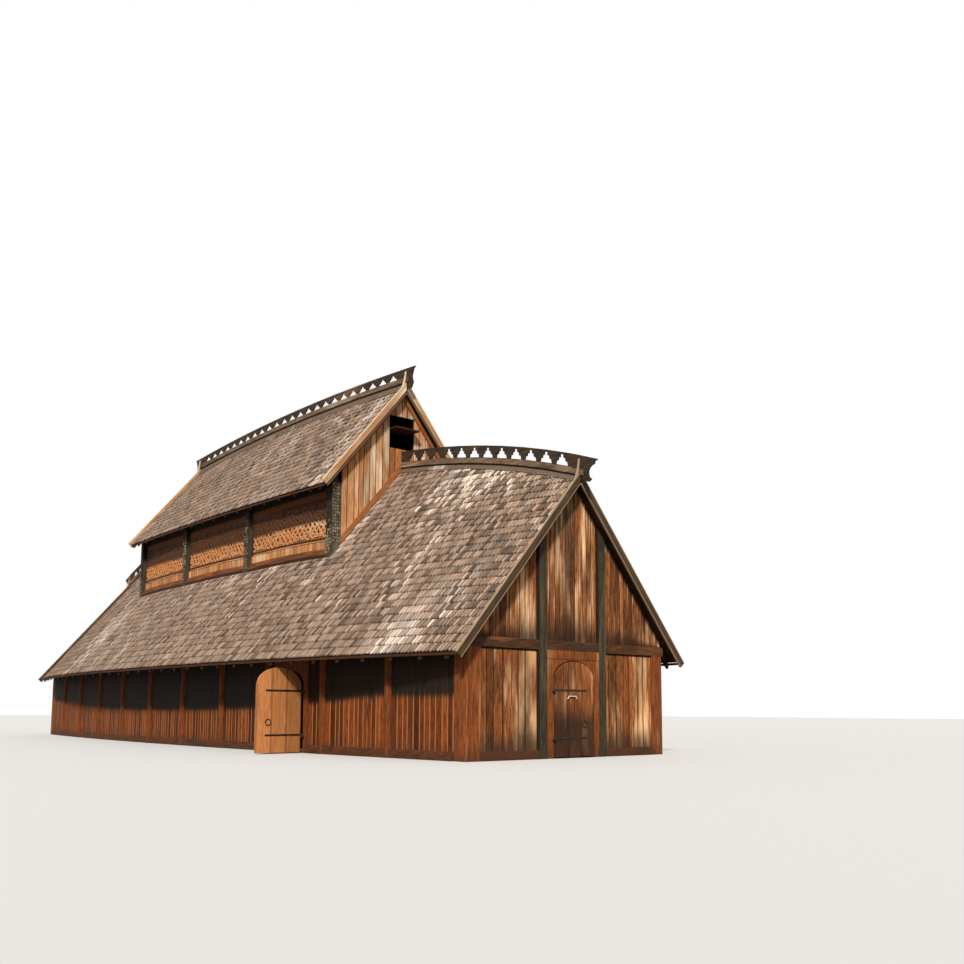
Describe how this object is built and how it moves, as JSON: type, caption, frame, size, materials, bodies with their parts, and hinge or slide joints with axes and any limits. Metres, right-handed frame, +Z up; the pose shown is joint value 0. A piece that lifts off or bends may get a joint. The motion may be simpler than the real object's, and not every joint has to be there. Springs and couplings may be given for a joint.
{
  "type": "timber longhouse",
  "caption": "Boat-shaped timber hall with bowed shingled roof, raised middle roof, pierced ridge crests, an open side door and a gable door.",
  "frame": {"origin": "on the ground under the middle of the house", "axes": "+X along the house towards the gable with the door, +Y across it away from the side door, +Z up"},
  "size_m": [32.992, 11.6298, 12.7444],
  "materials": {
    "wall_timber": "sawn boards, red-brown",
    "roof_shingles": "weathered grey wooden shingles",
    "weathered_posts": "weathered grey-brown timber",
    "dark_timber": "dark tarred timber",
    "pale_timber": "pale sawn boards",
    "carved_timber": "carved boards",
    "door_timber": "planed boards",
    "handle_wood": "bleached branch wood",
    "door_iron": "blackened iron"
  },
  "bodies": {
    "hall": {"front_posts": "weathered_posts", "back_posts": "weathered_posts", "long_sills": "weathered_posts", "back_wall_boards": "wall_timber", "front_wall_boards": "wall_timber", "side_door_jambs": "wall_timber", "side_door_head": "wall_timber", "wall_plates": "wall_timber", "corner_posts": "weathered_posts", "gable_posts": "weathered_posts", "gable_tie_beams": "weathered_posts", "gable_low_boards": "wall_timber", "gable_high_boards": "wall_timber", "gable_sills": "weathered_posts", "gable_door_jambs": "wall_timber", "gable_door_head": "wall_timber", "bargeboards": "dark_timber", "front_roof_near": "roof_shingles", "front_roof_middle": "roof_shingles", "front_roof_far": "roof_shingles", "back_roof_near": "roof_shingles", "back_roof_middle": "roof_shingles", "back_roof_far": "roof_shingles", "front_rafters": "dark_timber", "back_rafters": "dark_timber", "lower_crests": "dark_timber", "upper_crest": "dark_timber", "main_posts": "weathered_posts", "end_bay_posts": "wall_timber", "cross_beams": "wall_timber", "foot_beams": "wall_timber", "carved_panels": "carved_timber", "panel_sills": "carved_timber", "upper_plates": "wall_timber", "back_upper_roof": "roof_shingles", "front_upper_roof": "roof_shingles", "back_upper_rafters": "dark_timber", "front_upper_rafters": "dark_timber", "upper_gable_walls": "pale_timber", "raking_boards": "pale_timber", "smoke_hatches": "dark_timber", "upper_bargeboards": "pale_timber", "eave_laths": "dark_timber", "ridge_rails": "weathered_posts", "side_door_pins": "door_iron", "gable_door_pins": "door_iron"},
    "side_door": {"side_door_leaf": "door_timber", "side_door_irons": "door_iron"},
    "gable_door": {"gable_door_leaf": "door_timber", "gable_door_irons": "door_iron", "gable_door_handle": "handle_wood"}
  },
  "joints": [
    {"name": "side_door_hinge", "type": "hinge", "parent": "hall", "child": "side_door", "pos_m": [9.055, -4.31144, 0.513], "axis": [0, 0, 1], "range_deg": [-90, 60]},
    {"name": "gable_door_hinge", "type": "hinge", "parent": "hall", "child": "gable_door", "pos_m": [15.618, -0.747, 0.513], "axis": [0, 0, -1], "range_deg": [0, 110]}
  ]
}
